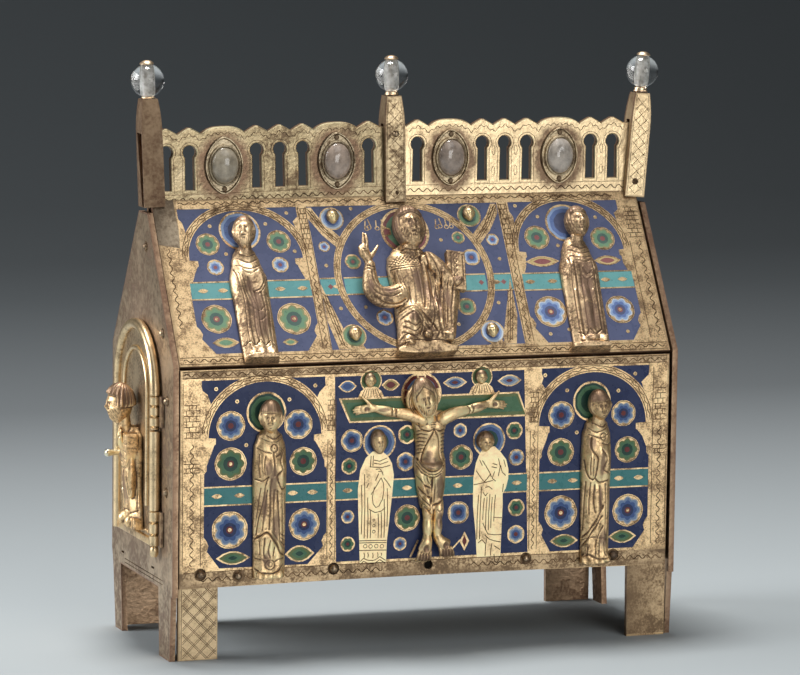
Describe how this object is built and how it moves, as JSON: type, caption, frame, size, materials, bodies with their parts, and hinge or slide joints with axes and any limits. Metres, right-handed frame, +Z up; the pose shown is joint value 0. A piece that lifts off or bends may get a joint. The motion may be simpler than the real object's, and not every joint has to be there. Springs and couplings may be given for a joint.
{
  "type": "reliquary casket",
  "caption": "House-shaped casket of gilt copper plates with champlevé enamel, applied relief figures, a pierced crest with crystal knobs and a hinged door in the left gable.",
  "frame": {"origin": "on the ground under the middle of the box that encloses the whole casket", "axes": "+X along the ridge to the right of someone who faces the front, +Y from the front to the back, +Z up"},
  "size_m": [0.2716, 0.1108, 0.2729],
  "materials": {
    "enamelled_plate": "gilt copper plate inlaid with blue, turquoise, green and white enamel, polished level",
    "gilt_copper": "fire-gilt copper, engraved, soft polish with brown in the hollows",
    "worn_gilt_copper": "gilding rubbed through to brown copper",
    "brown_copper": "brown patinated copper with remains of gilding",
    "rock_crystal": "clear polished crystal",
    "cloudy_crystal": "cloudy polished crystal",
    "old_oak": "dark old oak, unvarnished"
  },
  "bodies": {
    "casket": {"back_plate": "enamelled_plate", "cabochon_1": "cloudy_crystal", "cabochon_2": "cloudy_crystal", "cabochon_3": "cloudy_crystal", "cabochon_4": "cloudy_crystal", "corpus": "worn_gilt_copper", "crest_left": "worn_gilt_copper", "crest_right": "gilt_copper", "crystal_left": "rock_crystal", "crystal_middle": "rock_crystal", "crystal_right": "rock_crystal", "floor_board": "old_oak", "front_left_foot": "gilt_copper", "front_plate": "enamelled_plate", "head_angel_left": "gilt_copper", "head_angel_right": "gilt_copper", "head_john": "gilt_copper", "head_mary": "gilt_copper", "head_ring_lower_left": "gilt_copper", "head_ring_lower_right": "gilt_copper", "head_ring_upper_left": "gilt_copper", "head_ring_upper_right": "gilt_copper", "hinge_pin_1": "brown_copper", "hinge_pin_2": "brown_copper", "hinge_strap_1": "brown_copper", "hinge_strap_2": "brown_copper", "left_gable": "brown_copper", "majesty": "worn_gilt_copper", "post_left": "brown_copper", "post_middle": "gilt_copper", "post_right": "gilt_copper", "right_gable": "worn_gilt_copper", "roof_back": "enamelled_plate", "roof_front": "enamelled_plate", "saint_front_left": "worn_gilt_copper", "saint_front_right": "worn_gilt_copper", "saint_roof_left": "worn_gilt_copper", "saint_roof_right": "worn_gilt_copper", "setting_1": "worn_gilt_copper", "setting_2": "worn_gilt_copper", "setting_3": "gilt_copper", "setting_4": "gilt_copper", "spindle_left": "gilt_copper", "spindle_middle": "gilt_copper", "spindle_right": "gilt_copper"},
    "door": {"door_panel": "brown_copper", "door_figure": "worn_gilt_copper", "door_knob": "gilt_copper"}
  },
  "joints": [
    {"name": "door_hinge", "type": "hinge", "parent": "casket", "child": "door", "pos_m": [-0.12195, -0.0234, 0.08565], "axis": [0, 0, 1], "range_deg": [0, 110]}
  ]
}
